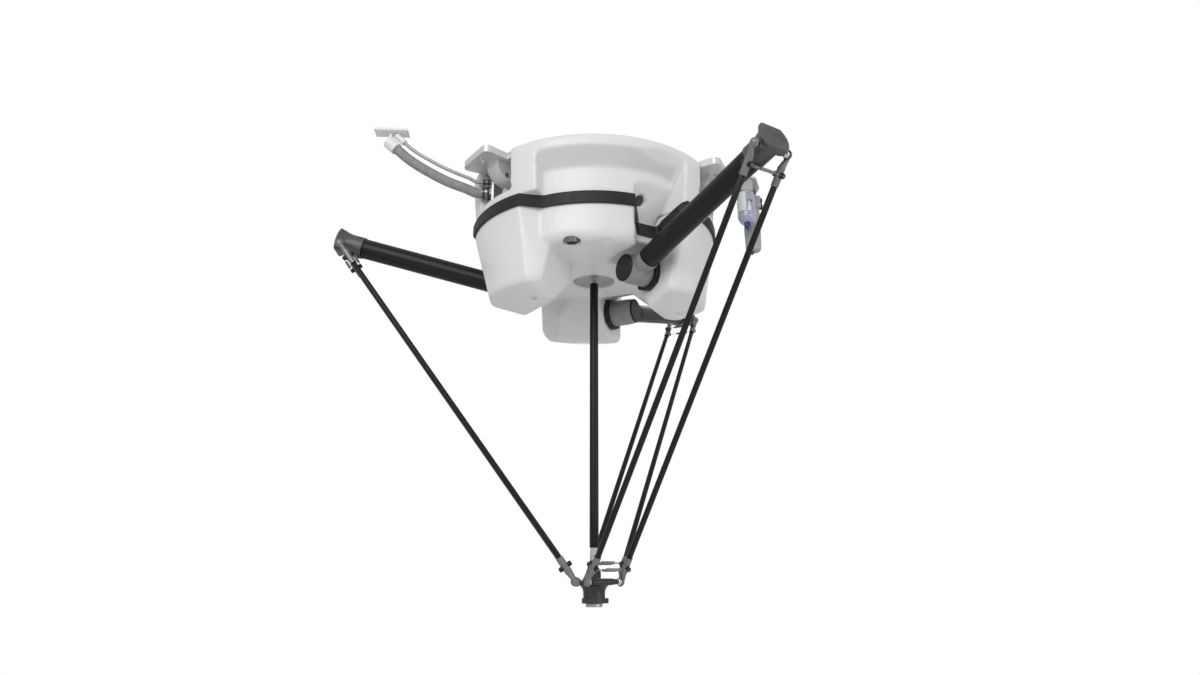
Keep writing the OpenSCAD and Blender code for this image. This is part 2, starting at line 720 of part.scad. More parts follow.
module drain_valves() {
    color("royalblue") at_pivots() {
        translate([filter_at[0], filter_at[1], air_low - air_body_h - 4 - guard_len]) {
            translate([0, 0, -3]) cylinder(r = 6, h = 7.9);
            translate([0, 0, -9]) cylinder(r1 = 2.5, r2 = 5, h = 6);
        }
        translate([regulator_at[0], regulator_at[1], air_low - air_body_h - 14 - regulator_len]) {
            translate([0, 0, 0]) cylinder(r = 6, h = 8);
            translate([0, 0, -6]) cylinder(r1 = 2, r2 = 5, h = 6);
        }
    }
}

module regulator_knob() {
    color([0.1, 0.1, 0.1]) at_pivots() translate([regulator_at[0], regulator_at[1], air_low - 14]) {
        cylinder(r = 13, h = 4);
        translate([0, 0, 4]) cylinder(r1 = 14.5, r2 = 13.5, h = 10);
    }
}

// ---- upper arms ----

module hub(i) {
    r = hub_body_r;
    color("gray") in_arm(i) difference() {
        union() {
            along_y(-hub_cap_y + 4) cylinder(r1 = r, r2 = r + 1.5, h = 14);
            along_y(-hub_cap_y + 18) cylinder(r = r + 1.5, h = wall_t - collar_len - face_gap + hub_cap_y - 18);
            along_y(0) cylinder(r = r - 2, h = wall_t + 2);
            along_y(0) cylinder(d = drive_shaft_d, h = stub_end);
            along_x(0) cylinder(r = tube_r + 2, h = hub_reach - 4);
            along_x(hub_reach - 4) cylinder(r1 = tube_r + 2, r2 = tube_r + 1, h = 4);
        }
        along_x(tube_start) cylinder(r = tube_r + glue_gap, h = hub_reach);
        along_y(-hub_cap_y + 3) cylinder(r = r - 4, h = 5);
    }
}

module hub_cap(i) {
    r = hub_body_r;
    color([0.1, 0.1, 0.1]) in_arm(i) {
        along_y(-hub_cap_y) cylinder(r1 = r - 1.5, r2 = r, h = 1.5);
        along_y(-hub_cap_y + 1.5) cylinder(r = r, h = 2.5);
        along_y(-hub_cap_y + 4) cylinder(r = r - 4 - glue_gap, h = 3.9);
    }
}

module arm_tube(i) {
    color([0.12, 0.12, 0.12]) in_arm(i) along_x(tube_start)
        pipe(tube_r, tube_r - arm_tube_wall, tube_end - tube_start);
}

// Elbow casting: a socket for the tube, a dished flare that is cut flat above and below,
// and a tapered cross bar that carries the two joint balls
module elbow(i) {
    socket_r = tube_r + 1.8;
    flare_x = ball_x - 10;
    flare_r = elbow_flare_d / 2;
    color("dimgray") in_arm(i) difference() {
        union() {
            along_x(tube_end - 20) cylinder(r = socket_r, h = flare_x - tube_end + 24);
            intersection() {
                along_x(flare_x) rotate_extrude() difference() {
                    polygon([[0, -4], [socket_r - 0.5, -4], [socket_r, 0], [socket_r + 1.5, 9], [flare_r - 3.5, 17],
                        [flare_r, 20], [flare_r, 22], [flare_r - 1.5, 23.5], [0, 23.5]]);
                    translate([0, 62]) circle(43.5);
                }
                translate([0, -far / 2, -elbow_height / 2]) cube([2 * far, far, elbow_height]);
            }
            translate([ball_x, 0, -ball_drop]) {
                along_y(-18) cylinder(r = elbow_bar_r, h = 36);
                along_y(18) cylinder(r1 = elbow_bar_r, r2 = 4.6, h = bar_end - 18);
                mirror([0, 1, 0]) along_y(18) cylinder(r1 = elbow_bar_r, r2 = 4.6, h = bar_end - 18);
            }
        }
        along_x(tube_end - 21) cylinder(r = tube_r + glue_gap, h = 21 + glue_gap);
        translate([ball_x, 0, -ball_drop]) for (m = [0, 1]) mirror([0, m, 0])
            along_y(12) cylinder(r = stud_r + glue_gap, h = 30);
    }
}

module elbow_balls(i) {
    color("silver") in_arm(i) translate([ball_x, 0, -ball_drop]) for (m = [0, 1]) mirror([0, m, 0]) {
        translate([0, half_pair, 0]) sphere(ball_r);
        along_y(bar_end) cylinder(r = 3.6, h = ball_r);
        along_y(12.2) cylinder(r = stud_r, h = half_pair - 12.2);
    }
}

// ---- forearms ----

// A rod end at its ball's centre: the rod runs down and the cup holds the ball from +Y
module rod_end() {
    difference() {
        union() {
            sphere(cup_r);
            hull() {
                translate([0, 4.6, -4.2]) sphere(3.8, $fn = 24);
                translate([0, 0, -spring_at + 12]) cylinder(r = sleeve_r - 0.6, h = 1, $fn = 32);
            }
            translate([0, 0, -rod_end_len]) cylinder(r = sleeve_r, h = rod_end_len - spring_at + 13);
            translate([0, 0, -spring_at]) along_x(-spring_x - 3.4) cylinder(d = spring_pin_d, h = 2 * spring_x + 6.8);
        }
        sphere(ball_r + ball_gap);
        translate([-15, -29.2, -10]) cube([30, 30, 25]);
        translate([0, 0, -rod_end_len - 1]) cylinder(r = rod_d / 2 + glue_gap, h = rod_end_len + 1 - rod_start);
    }
}

module rod_ends(i) {
    color("gray") in_forearm(i) for (m = [0, 1]) mirror([0, m, 0]) {
        translate([0, half_pair, 0]) rod_end();
        translate([0, half_pair, -rod_len]) mirror([0, 0, 1]) rod_end();
    }
}

module rods(i) {
    color([0.12, 0.12, 0.12]) in_forearm(i) for (s = [-1, 1])
        translate([0, s * half_pair, -rod_len + rod_start + 0.1])
            pipe(rod_d / 2, rod_d / 2 - 1.6, rod_len - 2 * rod_start - 0.2);
}

// A tension spring beside the rods, with a hooked link over the pin at each end
module spring() {
    link = half_pair - spring_len / 2;
    along_y(-spring_len / 2) cylinder(d = spring_d, h = spring_len);
    for (m = [0, 1]) mirror([0, m, 0]) {
        along_y(spring_len / 2) cylinder(r1 = spring_d / 2, r2 = 1.4, h = 3);
        difference() {
            union() {
                along_y(spring_len / 2) cylinder(r = 1.4, h = link - 4);
                translate([-1.6, half_pair, 0]) along_x(0) cylinder(r = spring_pin_d / 2 + 2.2, h = 3.2);
            }
            translate([-3, half_pair, 0]) along_x(0) cylinder(r = spring_pin_d / 2 + glue_gap, h = 6);
        }
    }
}

module springs(i) {
    color([0.15, 0.15, 0.15]) in_forearm(i) for (z = [-spring_at, -rod_len + spring_at])
        for (s = [-1, 1]) translate([s * (spring_x + 0.4), 0, z]) spring();
}

module foot_balls(i) {
    color("silver") in_forearm(i) for (s = [-1, 1]) translate([0, s * half_pair, -rod_len]) sphere(ball_r);
}

// ---- spindle, platform and tool ----

module spindle_rod() {
    color("silver") at_pivots() translate([0, 0, -spin_rod_reach])
        cylinder(d = spin_rod_d, h = spin_rod_reach + spin_motor_low + 38);
}

module spindle_tube() {
    r = spin_tube_d / 2;
    color([0.12, 0.12, 0.12]) at_pivots() difference() {
        union() {
            translate([0, 0, tube_bottom]) cylinder(r = r, h = spin_tube_len - 3);
            translate([0, 0, spin_tube_top - 3]) cylinder(r1 = r, r2 = r - 2.5, h = 3);
        }
        translate([0, 0, spin_tube_top - 40]) cylinder(r = spin_rod_d / 2 + run_gap, h = 41);
        translate([0, 0, tube_bottom + 30]) cylinder(r = r - 2.5, h = spin_tube_len - 69);
    }
}

// Universal joint: two forks set across each other on a cross
module fork() {
    r = universal_d / 2;
    difference() {
        union() {
            cylinder(r = r, h = 8);
            intersection() {
                translate([0, 0, 8]) cylinder(r = r, h = 13);
                for (s = [-1, 1]) translate([s * (r - 2.2) - 2.2, -r, 0]) cube([4.4, 2 * r, 22]);
            }
        }
        translate([0, 0, 15]) along_x(-far) cylinder(r = 2 + glue_gap, h = 2 * far);
    }
}

module universal_joint() {
    r = universal_d / 2;
    top = tube_bottom - universal_mid;
    low = universal_mid - universal_end;
    color("lightgray") at_pivots() translate([0, 0, universal_mid]) {
        rotate([180, 0, 0]) translate([0, 0, -15]) fork();
        translate([0, 0, 15]) cylinder(r = r - 1, h = top - 15.02);
        rotate(90) translate([0, 0, -15]) fork();
        translate([0, 0, -low]) cylinder(r = 5.5, h = low - 15);
        sphere(3.1);
        along_x(-r) cylinder(r = 2, h = 2 * r);
        along_y(-r) cylinder(r = 2, h = 2 * r);
    }
}

// Platform casting: three pairs of ball horns grow out of a trumpet-shaped stem
module platform() {
    low = -platform_drop;
    trumpet = 15;
    color([0.2, 0.2, 0.21]) at_platform() difference() {
        union() {
            rotate_extrude() polygon(concat([[0, low + 2], [stem_r, low + 2]],
                [for (k = [0:8]) [stem_r + trumpet * (1 - cos(k * 8)), -19 + trumpet * sin(k * 8)]],
                [[stem_r + 11, 0.5], [stem_r + 7, 3], [0, 3.6]]));
            translate([0, 0, low]) linear_extrude(platform_flange_t) union() {
                circle(platform_flange_r);
                for (k = [0:2]) rotate(k * sector + 4) translate([platform_flange_r - 1, 0]) circle(5);
            }
            cylinder(d = neck_d, h = neck_h - 2);
            translate([0, 0, neck_h - 2]) cylinder(r1 = neck_d / 2, r2 = neck_d / 2 - 2, h = 2);
            for (a = arm_angles) rotate(a) {
                translate([foot_r, 0, 0]) for (m = [0, 1]) mirror([0, m, 0]) {
                    along_y(0) cylinder(r = 6, h = 14);
                    along_y(14) cylinder(r1 = 6, r2 = 4.4, h = horn_end - 14);
                }
                translate([stem_r - 6, -14, -5.5]) cube([foot_r - stem_r + 6, 28, 8]);
            }
        }
        translate([0, 0, low - 1]) cylinder(r = bearing_r - 3, h = 100);
        translate([0, 0, low + 8]) cylinder(r = bearing_r - 3, h = 60);
        for (k = [0:2]) rotate(k * sector + 4) translate([platform_flange_r - 1, 0, low - 1]) cylinder(r = 2.1, h = 20);
    }
}

module tool_flange() {
    low = -platform_drop - face_gap;
    color("silver") at_platform() difference() {
        union() {
            translate([0, 0, low - tool_t]) cylinder(d = tool_d - 2, h = 1);
            translate([0, 0, low - tool_t + 1]) cylinder(d = tool_d, h = tool_t - 1);
            translate([0, 0, low]) cylinder(r = bearing_r - 3 - run_gap, h = 20);
            translate([0, 0, low]) cylinder(r = tool_shaft_r, h = tool_shaft_top - low);
        }
        translate([0, 0, low - tool_t - 1]) cylinder(d = tool_bore_d, h = 15);
        for (k = [0:3]) rotate(45 + k * 90) translate([tool_hole_r, 0, low - tool_t - 1]) cylinder(d = tool_hole_d, h = 9);
    }
}

mounting_frame();
lower_housing();
upper_housing();
seal_band();
gearbox(0);  // gearbox_1
gearbox(1);  // gearbox_2
gearbox(2);  // gearbox_3
motor(0);  // motor_1
motor(1);  // motor_2
motor(2);  // motor_3
seal_collar(0);  // seal_collar_1
seal_collar(1);  // seal_collar_2
seal_collar(2);  // seal_collar_3
spindle_motor();
spindle_bearing();
connector_plate();
cable_glands();
service_sockets();
power_cable();
air_hose();
cable_clamp();
air_bracket();
air_bodies();
filter_bowl();
bowl_guard();
drain_valves();
regulator_knob();
hub(0);  // hub_1
hub(1);  // hub_2
hub(2);  // hub_3
hub_cap(0);  // hub_cap_1
hub_cap(1);  // hub_cap_2
hub_cap(2);  // hub_cap_3
arm_tube(0);  // arm_tube_1
arm_tube(1);  // arm_tube_2
arm_tube(2);  // arm_tube_3
elbow(0);  // elbow_1
elbow(1);  // elbow_2
elbow(2);  // elbow_3
elbow_balls(0);  // elbow_balls_1
elbow_balls(1);  // elbow_balls_2
elbow_balls(2);  // elbow_balls_3
rods(0);  // rods_1
rods(1);  // rods_2
rods(2);  // rods_3
rod_ends(0);  // rod_ends_1
rod_ends(1);  // rod_ends_2
rod_ends(2);  // rod_ends_3
springs(0);  // springs_1
springs(1);  // springs_2
springs(2);  // springs_3
foot_balls(0);  // foot_balls_1
foot_balls(1);  // foot_balls_2
foot_balls(2);  // foot_balls_3
spindle_rod();
spindle_tube();
universal_joint();
platform();
tool_flange();
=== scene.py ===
"""Looks of a ceiling-mounted delta robot: a white cast base with three drive pods, carbon upper
arms and forearm rods, a small dark platform and a telescopic spindle. Metres, +Z up, with the
origin at the centre of the top mounting face."""
import math

import bmesh
import bpy
import numpy as np
from mathutils import Matrix, Vector


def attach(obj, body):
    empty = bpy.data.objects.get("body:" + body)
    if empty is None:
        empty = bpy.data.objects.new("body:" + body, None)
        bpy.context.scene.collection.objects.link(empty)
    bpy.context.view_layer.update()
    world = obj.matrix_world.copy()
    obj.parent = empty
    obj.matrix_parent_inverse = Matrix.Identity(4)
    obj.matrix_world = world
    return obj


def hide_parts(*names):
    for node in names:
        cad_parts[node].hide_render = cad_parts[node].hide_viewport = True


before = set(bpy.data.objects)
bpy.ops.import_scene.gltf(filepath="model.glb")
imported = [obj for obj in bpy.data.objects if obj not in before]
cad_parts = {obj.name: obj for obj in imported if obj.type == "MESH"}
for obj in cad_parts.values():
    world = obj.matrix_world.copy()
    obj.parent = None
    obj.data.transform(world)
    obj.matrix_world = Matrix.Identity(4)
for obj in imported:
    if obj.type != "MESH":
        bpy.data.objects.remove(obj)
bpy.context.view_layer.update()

# ---- camera ----
# The robot is seen from below its mount and a little from the left, at arm's length, as a
# person sees it who stands before the cell that it hangs in.
eye = Vector((-0.0778, -1.5323, -0.7804))
yaw, pitch, roll = (math.radians(a) for a in (3.352, 16.783, -0.153))
ahead = Vector((math.sin(yaw) * math.cos(pitch), math.cos(yaw) * math.cos(pitch), math.sin(pitch)))
level = Vector((math.cos(yaw), -math.sin(yaw), 0))
upright = level.cross(ahead)
right = level * math.cos(roll) + upright * math.sin(roll)
top = upright * math.cos(roll) - level * math.sin(roll)
camera = bpy.data.objects.new("camera", bpy.data.cameras.new("camera"))
bpy.context.scene.collection.objects.link(camera)
camera.data.sensor_width = 36
camera.data.lens = 24.07
camera.data.clip_end = 200
camera.matrix_world = Matrix((
    (right.x, top.x, -ahead.x, eye.x),
    (right.y, top.y, -ahead.y, eye.y),
    (right.z, top.z, -ahead.z, eye.z),
    (0, 0, 0, 1)))
bpy.context.scene.camera = camera

# ---- power cable and air hose ----
# The power cable runs in a grey spiral-ribbed conduit and the compressed air in a smooth hose.
# Both leave the glands on the connector plate, rise to the left and end in the ceiling clamp.
pivot_drop = 0.222
conduit_d = 0.020
conduit_rib = 0.0034
rib_wave = 0.0006
points_per_rib = 6
hose_d = 0.007
hose_step = 0.004
conduit_route = np.array([
    (-224, -107, 162), (-235, -107, 162), (-250, -107, 169), (-265, -107, 175), (-280, -106, 181),
    (-295, -105, 188), (-310, -104, 196), (-325, -103, 205), (-340, -102, 214), (-355, -101, 224),
    (-370, -100, 235), (-383, -100, 246), (-395, -100, 257)]) / 1000 - (0, 0, pivot_drop)
hose_route = np.array([
    (-224, -107, 186), (-235, -107, 186), (-250, -107, 194), (-265, -107, 200), (-280, -106, 207),
    (-295, -105, 214), (-310, -104, 222), (-325, -103, 231), (-340, -102, 240), (-355, -101, 250),
    (-368, -100, 260), (-380, -100, 271)]) / 1000 - (0, 0, pivot_drop)


def eased(route, step):
    """Points every step along the smooth curve through a route: on each span the cubic that
    passes both its ends with the slope of the line between their neighbours."""
    before = np.vstack([2 * route[0] - route[1], route[:-2]])
    after = np.vstack([route[2:], 2 * route[-1] - route[-2]])
    p0, p1 = route[:-1], route[1:]
    count = np.maximum(2, np.ceil(np.linalg.norm(p1 - p0, axis=1) / step)).astype(int)
    span = np.repeat(np.arange(len(p0)), count)
    t = np.concatenate([np.arange(c) / c for c in count])[:, None]
    a, b, c, d = before[span], p0[span], p1[span], after[span]
    curve = 0.5 * (2 * b + (c - a) * t + (2 * a - 5 * b + 4 * c - d) * t ** 2
                   + (3 * b - a - 3 * c + d) * t ** 3)
    return np.vstack([curve, route[-1:]])


def grid_faces(rows, columns, closed):
    """Quads of a grid of points: each joins a point, the next in its row, and the two in the
    row after. A closed grid's rows go round, so its last column meets the first."""
    across = columns if closed else columns - 1
    r, c = np.meshgrid(np.arange(rows - 1), np.arange(across), indexing="ij")
    n = (c + 1) % columns
    return np.stack([r * columns + c, r * columns + n, (r + 1) * columns + n,
                     (r + 1) * columns + c], -1).reshape(-1, 4).tolist()


def swept(route, radius, sides):
    """Round bar along a route: at each point a ring of the radius there, across the direction
    of travel, turned from the ring before by no more than the route itself turns."""
    ahead = np.gradient(route, axis=0)
    ahead /= np.linalg.norm(ahead, axis=1)[:, None]
    side = np.empty_like(ahead)
    askew = (0.31, 0.17, 0.93)
    side[0] = np.cross(ahead[0], askew)
    side[0] /= np.linalg.norm(side[0])
    for k in range(1, len(route)):
        side[k] = side[k - 1] - ahead[k] * (side[k - 1] @ ahead[k])
        side[k] /= np.linalg.norm(side[k])
    other = np.cross(ahead, side)
    turn = np.linspace(0, 2 * math.pi, sides, endpoint=False)
    reach = np.broadcast_to(radius, len(route))[:, None, None]
    rings = route[:, None] + reach * (side[:, None] * np.cos(turn)[:, None]
                                      + other[:, None] * np.sin(turn)[:, None])
    last = (len(route) - 1) * sides
    caps = [list(range(sides)), list(range(last, last + sides))]
    return rings.reshape(-1, 3), grid_faces(len(route), sides, True) + caps


def piece(name, shapes, body, material, sharp=35):
    """One object made of several closed shapes, each a pair of points and faces: their points
    follow each other, the faces of each count on from the one before, and all face outwards."""
    faces, base = [], 0
    for points, polygons in shapes:
        faces += [[base + k for k in polygon] for polygon in polygons]
        base += len(points)
    mesh = bpy.data.meshes.new(name)
    mesh.from_pydata(np.vstack([points for points, _ in shapes]).tolist(), [], faces)
    work = bmesh.new()
    work.from_mesh(mesh)
    bmesh.ops.recalc_face_normals(work, faces=work.faces)
    work.to_mesh(mesh)
    work.free()
    mesh.shade_smooth()
    mesh.set_sharp_from_angle(angle=math.radians(sharp))
    mesh.materials.append(material)
    made = bpy.data.objects.new(name, mesh)
    bpy.context.scene.collection.objects.link(made)
    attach(made, body)
    return made


def finish(name, colour, roughness, metallic=0.0, coat=0.0, specular=0.5):
    """A surface finish with its constant values on the shader's own sockets."""
    made = bpy.data.materials.new(name)
    made.use_nodes = True
    made.diffuse_color = (*colour, 1)
    shader = made.node_tree.nodes["Principled BSDF"]
    shader.inputs["Base Color"].default_value = (*colour, 1)
    shader.inputs["Roughness"].default_value = roughness
    shader.inputs["Metallic"].default_value = metallic
    shader.inputs["Coat Weight"].default_value = coat
    shader.inputs["Coat Roughness"].default_value = 0.12
    shader.inputs["Specular IOR Level"].default_value = specular
    return made


def node(made, kind, **values):
    """Adds a node to a finish and sets its properties."""
    added = made.node_tree.nodes.new(kind)
    for key, value in values.items():
        setattr(added, key, value)
    return added


def speckle(made, size, detail=4, stretch=(1, 1, 1)):
    """Cloudy noise from 0 to 1 whose blobs are about size metres wide, on the object's own
    coordinates, which a stretch draws out into streaks."""
    place = node(made, "ShaderNodeTexCoord")
    mapping = node(made, "ShaderNodeMapping")
    mapping.inputs["Scale"].default_value = stretch
    noise = node(made, "ShaderNodeTexNoise")
    noise.inputs["Scale"].default_value = 1 / size
    noise.inputs["Detail"].default_value = detail
    links = made.node_tree.links
    links.new(place.outputs["Object"], mapping.inputs["Vector"])
    links.new(mapping.outputs["Vector"], noise.inputs["Vector"])
    return noise.outputs["Fac"]


def spread(made, value, low, high):
    """Turns the middle of a pattern's range, 0.3 to 0.7, into low to high, and holds what is
    outside it at those two."""
    ranged = node(made, "ShaderNodeMapRange")
    for key, number in (("From Min", 0.3), ("From Max", 0.7), ("To Min", low), ("To Max", high)):
        ranged.inputs[key].default_value = number
    made.node_tree.links.new(value, ranged.inputs["Value"])
    return ranged.outputs["Result"]


def shaded(made, value, dark, light):
    """Colours a finish from dark to light by a pattern."""
    mix = node(made, "ShaderNodeMix", data_type="RGBA")
    factor, first, second, result = 0, 6, 7, 2  # the sockets that mix colours
    mix.inputs[first].default_value = (*dark, 1)
    mix.inputs[second].default_value = (*light, 1)
    links = made.node_tree.links
    links.new(spread(made, value, 0, 1), mix.inputs[factor])
    links.new(mix.outputs[result], made.node_tree.nodes["Principled BSDF"].inputs["Base Color"])


def rubbed(made, value, smooth, rough):
    """Lets a finish's roughness wander from smooth to rough by a pattern."""
    made.node_tree.links.new(spread(made, value, smooth, rough),
                             made.node_tree.nodes["Principled BSDF"].inputs["Roughness"])


def relief(made, value, depth, strength=1.0):
    """Raises a finish's surface by a pattern, depth metres high, over any relief it has."""
    shader = made.node_tree.nodes["Principled BSDF"]
    bump = node(made, "ShaderNodeBump")
    bump.inputs["Distance"].default_value = depth
    bump.inputs["Strength"].default_value = strength
    links = made.node_tree.links
    links.new(value, bump.inputs["Height"])
    for link in list(shader.inputs["Normal"].links):
        links.new(link.from_socket, bump.inputs["Normal"])
    links.new(bump.outputs["Normal"], shader.inputs["Normal"])


conduit_grey = finish("conduit_grey", (0.27, 0.27, 0.265), 0.55)
shaded(conduit_grey, speckle(conduit_grey, 0.011), (0.235, 0.235, 0.23), (0.31, 0.31, 0.30))
rubbed(conduit_grey, speckle(conduit_grey, 0.004), 0.45, 0.68)
relief(conduit_grey, speckle(conduit_grey, 0.0006), 0.00012)
hose_grey = finish("hose_grey", (0.36, 0.37, 0.38), 0.3, coat=0.25)
shaded(hose_grey, speckle(hose_grey, 0.008), (0.33, 0.34, 0.35), (0.40, 0.41, 0.42))
rubbed(hose_grey, speckle(hose_grey, 0.003), 0.22, 0.42)

line = eased(conduit_route, conduit_rib / points_per_rib)
travelled = np.concatenate([[0], np.cumsum(np.linalg.norm(np.diff(line, axis=0), axis=1))])
ribs = conduit_d / 2 - rib_wave + rib_wave * np.cos(2 * math.pi * travelled / conduit_rib)
conduit = piece("conduit", [swept(line, ribs, sides=32)], "base", conduit_grey,
                sharp=60)
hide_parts("power_cable")
hose_line = eased(hose_route, hose_step)
hose = piece("supply_hose", [swept(hose_line, hose_d / 2, sides=24)], "base", hose_grey,
             sharp=60)
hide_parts("air_hose")
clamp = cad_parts["cable_clamp"]


# ---- cast housing and its cover ----
# Two aluminium castings with a white powder coat: the lower one holds the drives and has the
# three pods, the cover closes it from above. Their edges are rounded and the coat is satin.
housing_white = finish("housing_white", (0.72, 0.72, 0.71), 0.42, coat=0.08)
shaded(housing_white, speckle(housing_white, 0.16, 3), (0.705, 0.705, 0.695), (0.74, 0.74, 0.735))
rubbed(housing_white, speckle(housing_white, 0.03, 5), 0.32, 0.46)
relief(housing_white, speckle(housing_white, 0.0016, 2), 0.00016, 0.55)
relief(housing_white, speckle(housing_white, 0.02, 2), 0.0003, 0.35)


def softened(name, source, body, material, edge, limit=32, cell=0, passes=0):
    """A copy of a solid whose sharp edges are rounded: its points are merged and its flat
    parts joined, then each edge steeper than limit degrees gets a small round of radius edge.
    Given a cell, its skin is rebuilt from even cells of that size and each point then moves
    halfway to its neighbours' middle in each of the passes, as a sand casting is soft."""
    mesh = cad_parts[source].data.copy()
    mesh.name = name
    same_point, flat = 1e-6, math.radians(0.6)
    work = bmesh.new()
    work.from_mesh(mesh)
    bmesh.ops.remove_doubles(work, verts=work.verts, dist=same_point)
    bmesh.ops.dissolve_degenerate(work, edges=work.edges, dist=2 * same_point)
    bmesh.ops.dissolve_limit(work, angle_limit=flat, verts=work.verts, edges=work.edges)
    work.to_mesh(mesh)
    work.free()
    mesh.shade_smooth()
    mesh.materials.clear()
    mesh.materials.append(material)
    made = bpy.data.objects.new(name, mesh)
    bpy.context.scene.collection.objects.link(made)
    if edge:
        rounding = made.modifiers.new("rounding", "BEVEL")
        rounding.width = edge
        rounding.segments = 2
        rounding.limit_method = "ANGLE"
        rounding.angle_limit = math.radians(limit)
    if cell:
        skin = made.modifiers.new("skin", "REMESH")
        skin.mode = "VOXEL"
        skin.voxel_size = cell
        skin.use_smooth_shade = True
        relax = made.modifiers.new("relax", "SMOOTH")
        relax.factor = 0.5
        relax.iterations = passes
    else:
        even = made.modifiers.new("even_shading", "WEIGHTED_NORMAL")
        even.keep_sharp = True
        even.weight = 50
    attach(made, body)
    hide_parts(source)


for name, source, cell, passes in (("drive_housing", "lower_housing", 0.0030, 8),
                                   ("drive_cover", "upper_housing", 0.0034, 4)):
    softened(name, source, "base", housing_white, edge=0, cell=cell,
             passes=passes)

# ---- screws in the housing ----
# Socket-head screws of black steel close the castings. Each sits deep in a slanted well under a
# panel on a dark plated cup that is painted shade, standing for the shadow inside the well, and
# a black rubber plug is pushed into the eye over each arm.
arm_angles = [math.radians(a) for a in (180, -60, 60)]
well_r = 0.194
well_height = 0.026
well_depth = 0.0101
well_turn = math.radians(75.3)
well_lean = math.radians(17)
eye_x, eye_y, eye_height = 0.192, -0.022, 0.118
eye_lean = math.radians(122)
plug_sunk = 0.0085
screw_steel = finish("screw_steel", (0.045, 0.045, 0.047), 0.34, metallic=0.8)
rubbed(screw_steel, speckle(screw_steel, 0.0012), 0.25, 0.5)
plated = finish("plated_fitting", (0.20, 0.20, 0.205), 0.3, metallic=0.9)
shaded(plated, speckle(plated, 0.004), (0.15, 0.15, 0.155), (0.27, 0.27, 0.275))
rubbed(plated, speckle(plated, 0.0015), 0.2, 0.42)
plug_black = finish("plug_black", (0.06, 0.06, 0.061), 0.6)
rubbed(plug_black, speckle(plug_black, 0.002), 0.5, 0.75)


def turned(profile, sides=40, six=()):
    """Solid of revolution about +Z: every point of the profile (radius, height) goes round,
    and in the rows listed in six the radius is divided by the cosine of the angle from the
    nearest of six flats, which makes a hexagon across the flats."""
    profile = np.array(profile, float)
    turn = np.linspace(0, 2 * math.pi, sides, endpoint=False)
    flat = np.ones((len(profile), sides))
    for row in six:
        flat[row] = 1 / np.cos((turn + math.pi / 6) % (math.pi / 3) - math.pi / 6)
    reach = profile[:, :1] * flat
    rings = np.stack([reach * np.cos(turn), reach * np.sin(turn),
                      np.broadcast_to(profile[:, 1:], reach.shape)], -1)
    last = (len(profile) - 1) * sides
    caps = [list(range(sides)), list(range(last, last + sides))]
    return rings.reshape(-1, 3), grid_faces(len(profile), sides, True) + caps


def bored(profile, sides=40):
    """Ring about +Z: turned as above, but the profile's last point joins its first and there are
    no caps, so a bore stays open."""
    points = turned(profile, sides)[0]
    faces = [[k % len(points) for k in quad] for quad in grid_faces(len(profile) + 1, sides, True)]
    return points, faces


def placed(shape, place):
    """A shape, which is a pair of points and faces, moved by a matrix."""
    place = np.array(place)
    return shape[0] @ place[:3, :3].T + place[:3, 3], shape[1]


def socket_screw(d):
    """Socket-head cap screw for thread d, head up, seat at height 0: a cylinder one d high and
    1.5 d wide with its rims drawn in, and a hexagon socket down to half its height."""
    r = 0.75 * d
    return turned([(r - 0.06 * d, 0), (r, 0.06 * d), (r, 0.9 * d), (r - 0.1 * d, d), (0.5 * d, d),
                   (0.44 * d, 0.95 * d), (0.42 * d, 0.5 * d), (0.2 * d, 0.38 * d)], 36, (5, 6))


def at_arm(i):
    """Frame of one arm at its pivots' height, with +X out along the arm."""
    return Matrix.Translation((0, 0, -pivot_drop)) @ Matrix.Rotation(arm_angles[i], 4, "Z")


def spun(x, y, z, about, angle):
    """Place x, y, z, turned there by angle about an axis."""
    return Matrix.Translation((x, y, z)) @ Matrix.Rotation(angle, 4, about)


def in_well(i):
    """Place at the floor of one screw well, with +Z out of its mouth."""
    return (at_arm(i) @ Matrix.Rotation(well_turn, 4, "Z")
            @ spun(well_r, 0, well_height, "Y", well_lean)
            @ spun(0, 0, well_depth, "X", math.pi))


# The cups are painted shade: dark plated linings that make each well look shadowed inside.
well_shade_cup = turned([(0.0138, 0), (0.0138, 0.0086), (0.0132, 0.009), (0.0122, 0.009),
                   (0.0118, 0.0086), (0.0116, 0.003), (0.001, 0.0028)], 48)
piece("well_screws", [placed(socket_screw(0.012), in_well(i)) for i in range(3)],
      "base", screw_steel)
piece("well_shade_cups", [placed(well_shade_cup, in_well(i)) for i in range(3)],
      "base", plated)
eye_plug = turned([(0.0108, 0), (0.0108, 0.0015), (0.0096, 0.003), (0.0052, 0.003),
                   (0.0044, 0.0022)], 40)
eye_plugs = [placed(eye_plug, at_arm(i) @ spun(eye_x, eye_y, eye_height, "Y", eye_lean)
                    @ Matrix.Translation((0, 0, -plug_sunk))) for i in range(3)]
piece("eye_plugs", eye_plugs, "base", plug_black)

# ---- seal band ----
# A moulded black rubber band is clipped over the joint of the two castings. It runs level
# round the pods and panels and dips into the notch beside each arm.
band_rubber = finish("band_rubber", (0.013, 0.013, 0.0135), 0.55, specular=0.35)
shaded(band_rubber, speckle(band_rubber, 0.03), (0.010, 0.010, 0.0105), (0.017, 0.017, 0.0175))
rubbed(band_rubber, speckle(band_rubber, 0.006), 0.42, 0.62)
relief(band_rubber, speckle(band_rubber, 0.0008), 0.0001)
softened("rubber_band", "seal_band", "base", band_rubber, edge=0.0012, limit=30)

